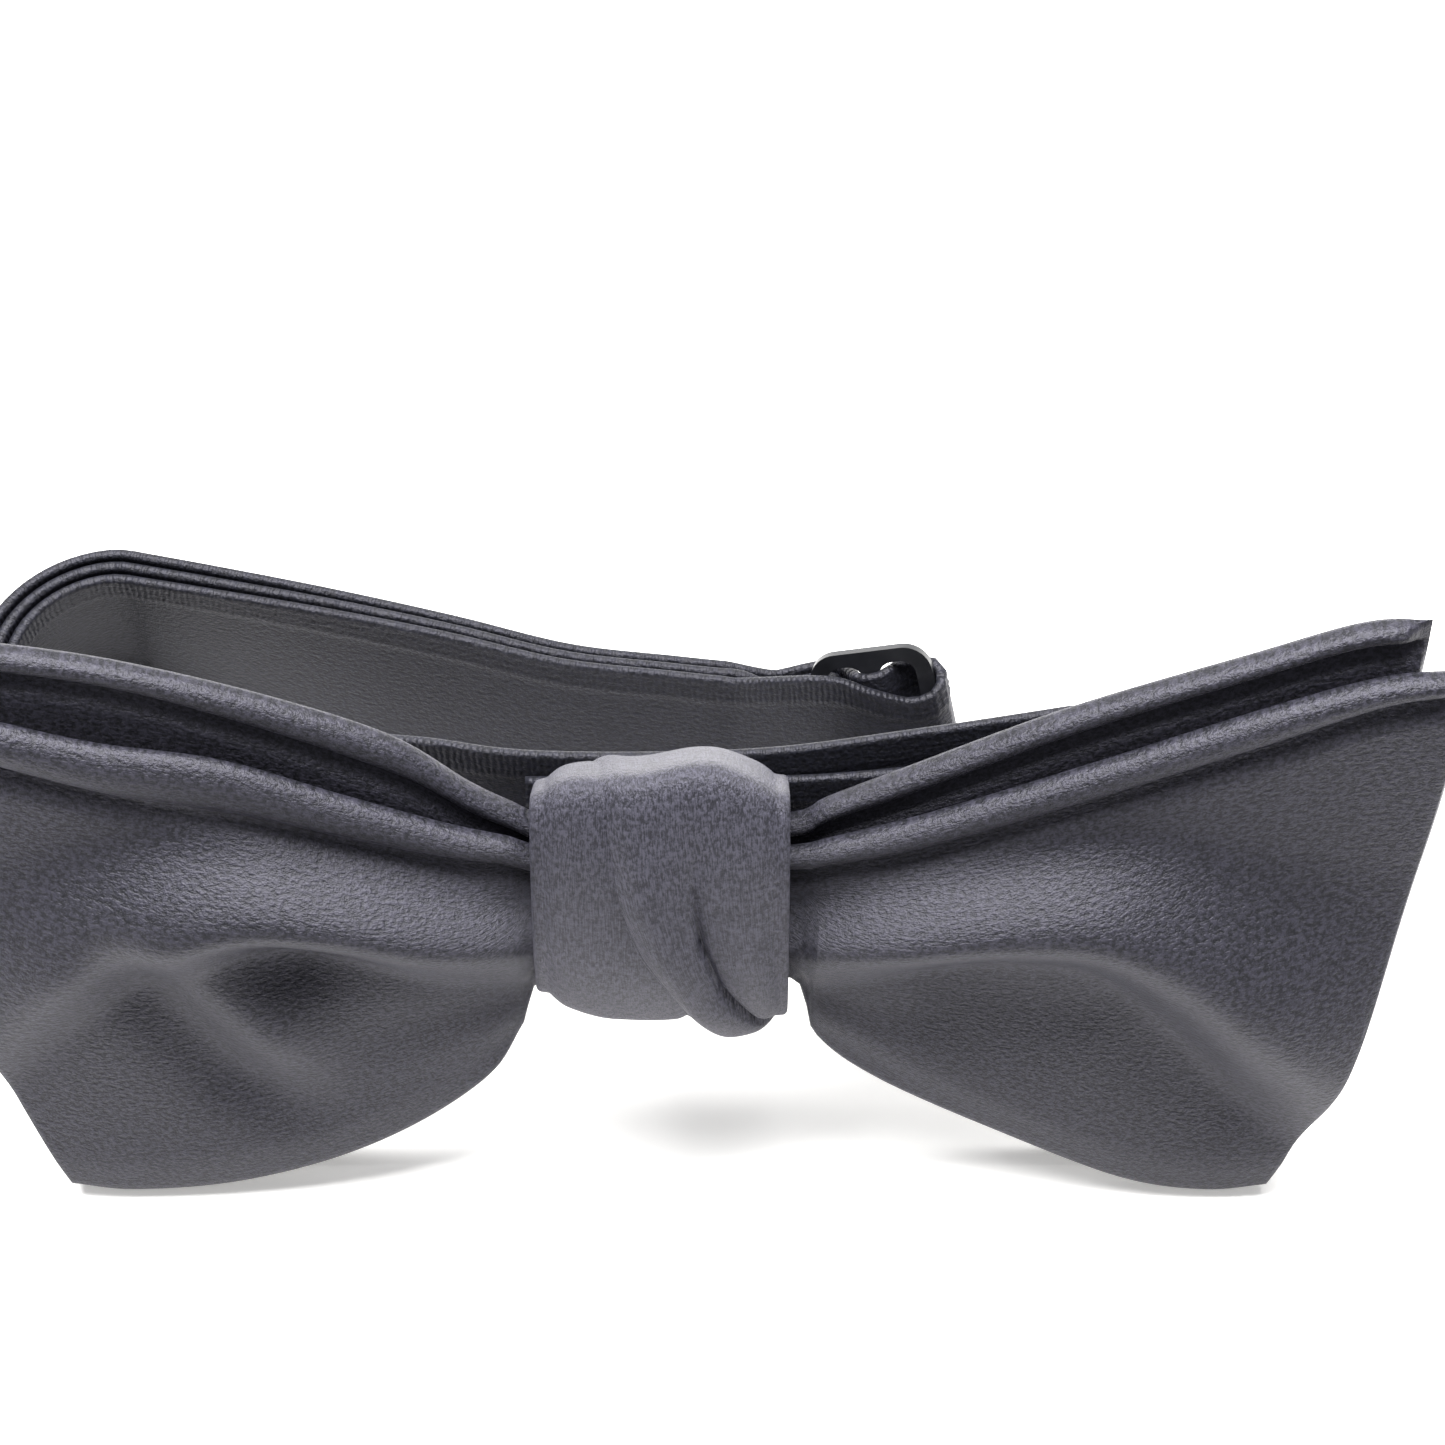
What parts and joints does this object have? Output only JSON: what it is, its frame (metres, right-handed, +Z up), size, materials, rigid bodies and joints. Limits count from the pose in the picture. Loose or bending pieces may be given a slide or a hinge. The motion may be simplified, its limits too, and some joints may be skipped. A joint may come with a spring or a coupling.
{
  "type": "bow tie",
  "caption": "Pre-tied satin bow tie with a wrapped knot on a folded adjustable neckband with slide, hook and eye, resting on its wing corners.",
  "frame": {"origin": "middle of the object's base, on the surface that it rests on", "axes": "+X across the bow to the viewer's right, +Y away from the face, +Z up"},
  "size_m": [0.1226, 0.0536, 0.0463],
  "materials": {
    "satin_face": "dark navy satin, fine weave grain",
    "satin_knot": "dark navy satin, folded",
    "satin_band": "dark navy satin neckband with ribbed edges",
    "interlining": "off-white brushed interlining",
    "thread": "navy sewing thread",
    "black_enamel": "black enamelled steel, semi-gloss"
  },
  "bodies": {
    "root": {"front_bow_face_ply": "satin_face", "front_bow_interlining": "interlining", "front_bow_back_ply": "satin_face", "back_bow_face_ply": "satin_face", "back_bow_interlining": "interlining", "back_bow_back_ply": "satin_face", "knot_under_turn": "satin_knot", "knot_over_turn": "satin_knot", "knot_padding": "interlining", "centre_binding_thread": "thread", "knot_closing_stitches": "thread", "doubled_strap_rear_layer": "satin_band", "doubled_strap_middle_layer": "satin_band", "long_strap": "satin_band", "short_strap": "satin_band", "eye_loop_bar_tack": "thread"},
    "slide_strap": {"strap_through_slide": "satin_band"},
    "slide": {"slide_frame": "black_enamel", "strap_end_loop": "satin_band", "strap_end_bar_tack": "thread"},
    "hook": {"hook_plate": "black_enamel"},
    "eye": {"eye_plate": "black_enamel"}
  },
  "joints": [
    {"name": "slide_travel", "type": "slide", "parent": "root", "child": "slide_strap", "axis": [0.9827, -0.185, 0], "range_m": [-0.02, 0.004], "deforming": ["long_strap", "doubled_strap_middle_layer", "doubled_strap_rear_layer"]},
    {"name": "slide_tilt", "type": "hinge", "parent": "slide_strap", "child": "slide", "pos_m": [0.02335, 0.00945, 0.0123], "axis": [-0.2169, 0.5184, 0.8272], "range_deg": [-4, 4], "deforming": ["strap_through_slide", "long_strap", "doubled_strap_middle_layer", "doubled_strap_rear_layer"]},
    {"name": "hook_swing", "type": "hinge", "parent": "root", "child": "hook", "pos_m": [-0.04535, -0.00241, 0.011], "axis": [0, 0, 1], "range_deg": [-15, 12]},
    {"name": "eye_swing", "type": "hinge", "parent": "root", "child": "eye", "pos_m": [0.02065, 0.00044, 0.018], "axis": [0, 0, 1], "range_deg": [-8, 12]}
  ]
}
